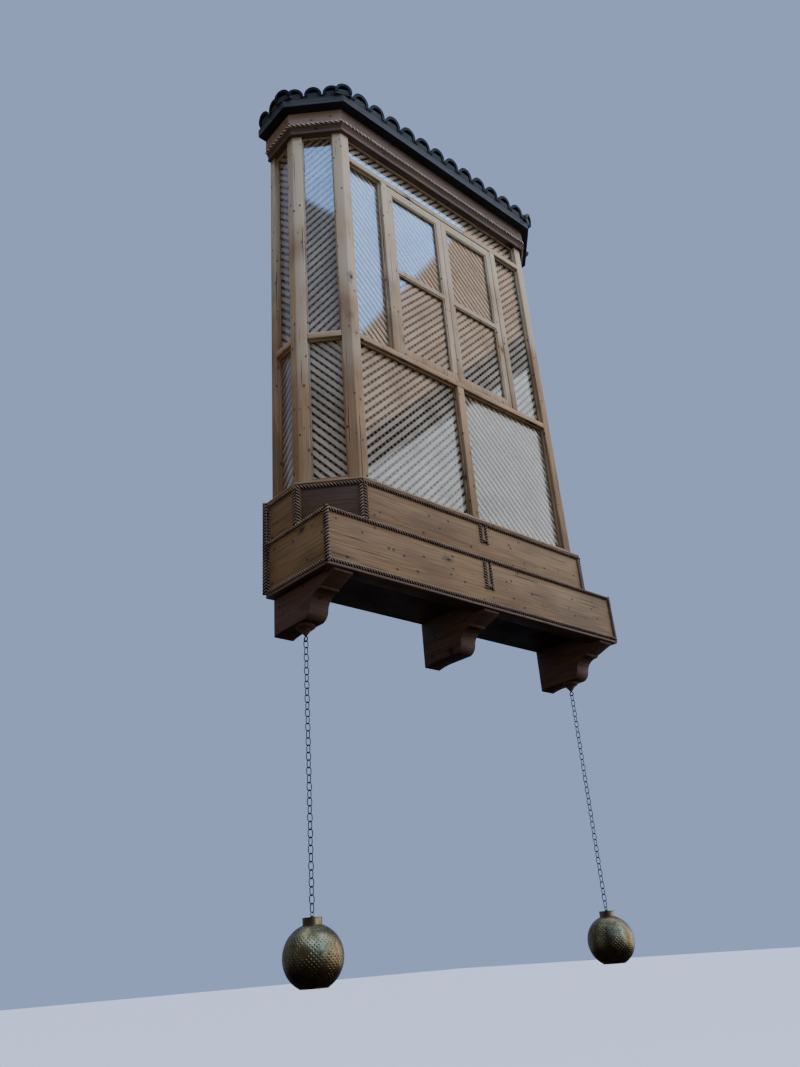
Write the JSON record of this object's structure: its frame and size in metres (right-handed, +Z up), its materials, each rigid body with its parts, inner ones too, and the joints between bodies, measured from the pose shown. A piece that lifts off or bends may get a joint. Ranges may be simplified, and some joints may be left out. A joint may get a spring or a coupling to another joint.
{
  "type": "mashrabiya oriel window",
  "caption": "Projecting glazed timber lattice bay with canted corners, carved brackets, a tiled roof hood and two hanging brass globe lanterns.",
  "frame": {"origin": "on the wall face, at the back of the centre bracket, level with the lower edge of the aprons", "axes": "+X along the wall to the right as seen from outside, +Y into the wall, +Z up"},
  "size_m": [2.347, 0.5835, 5.1816],
  "materials": {
    "frame_wood": "weathered, matt",
    "apron_wood": "oiled and weathered",
    "rope_wood": "dark stain",
    "underside_wood": "dark, matt",
    "fascia_wood": "weathered, matt",
    "lattice_wood": "stained, matt",
    "glass": "clear",
    "mortar": "rough lime mortar",
    "tile_glaze": "dark glaze",
    "iron": "blackened",
    "brass": "aged"
  },
  "bodies": {
    "bay": {"bottom_rails": "frame_wood", "bracket_centre": "underside_wood", "bracket_drops": "underside_wood", "bracket_left": "underside_wood", "bracket_right": "underside_wood", "casement_sash_left": "frame_wood", "casement_sash_right": "frame_wood", "corner_ledges": "underside_wood", "corner_post_left": "frame_wood", "corner_post_right": "frame_wood", "cover_tiles": "tile_glaze", "eave_board": "fascia_wood", "fascia": "fascia_wood", "fascia_bead": "fascia_wood", "floor_board": "underside_wood", "front_post_left": "frame_wood", "front_post_right": "frame_wood", "glass_front": "glass", "glass_left": "glass", "glass_right": "glass", "glazing_beads": "frame_wood", "head_rails": "frame_wood", "hook_eyes": "iron", "lattice_cant_left": "lattice_wood", "lattice_cant_right": "lattice_wood", "lattice_fixed_lights": "lattice_wood", "lattice_lower_front": "lattice_wood", "lattice_sashes": "lattice_wood", "lattice_side_left": "lattice_wood", "lattice_side_right": "lattice_wood", "lower_apron": "apron_wood", "mid_rails": "frame_wood", "mullions": "frame_wood", "roof_bed": "mortar", "rope_lower": "rope_wood", "rope_upper": "rope_wood", "sill_cap": "frame_wood", "skirt_boards": "underside_wood", "transom_rail": "frame_wood", "upper_apron": "apron_wood", "wall_posts": "frame_wood"},
    "lamp_left": {"chain_left": "iron", "lantern_left": "brass"},
    "lamp_right": {"chain_right": "iron", "lantern_right": "brass"}
  },
  "joints": [
    {"name": "lamp_left_swing", "type": "hinge", "parent": "bay", "child": "lamp_left", "pos_m": [-0.985, -0.18, -0.269], "axis": [0, 1, 0], "range_deg": [-15, 15]},
    {"name": "lamp_right_swing", "type": "hinge", "parent": "bay", "child": "lamp_right", "pos_m": [0.985, -0.18, -0.269], "axis": [0, 1, 0], "range_deg": [-15, 15]}
  ]
}
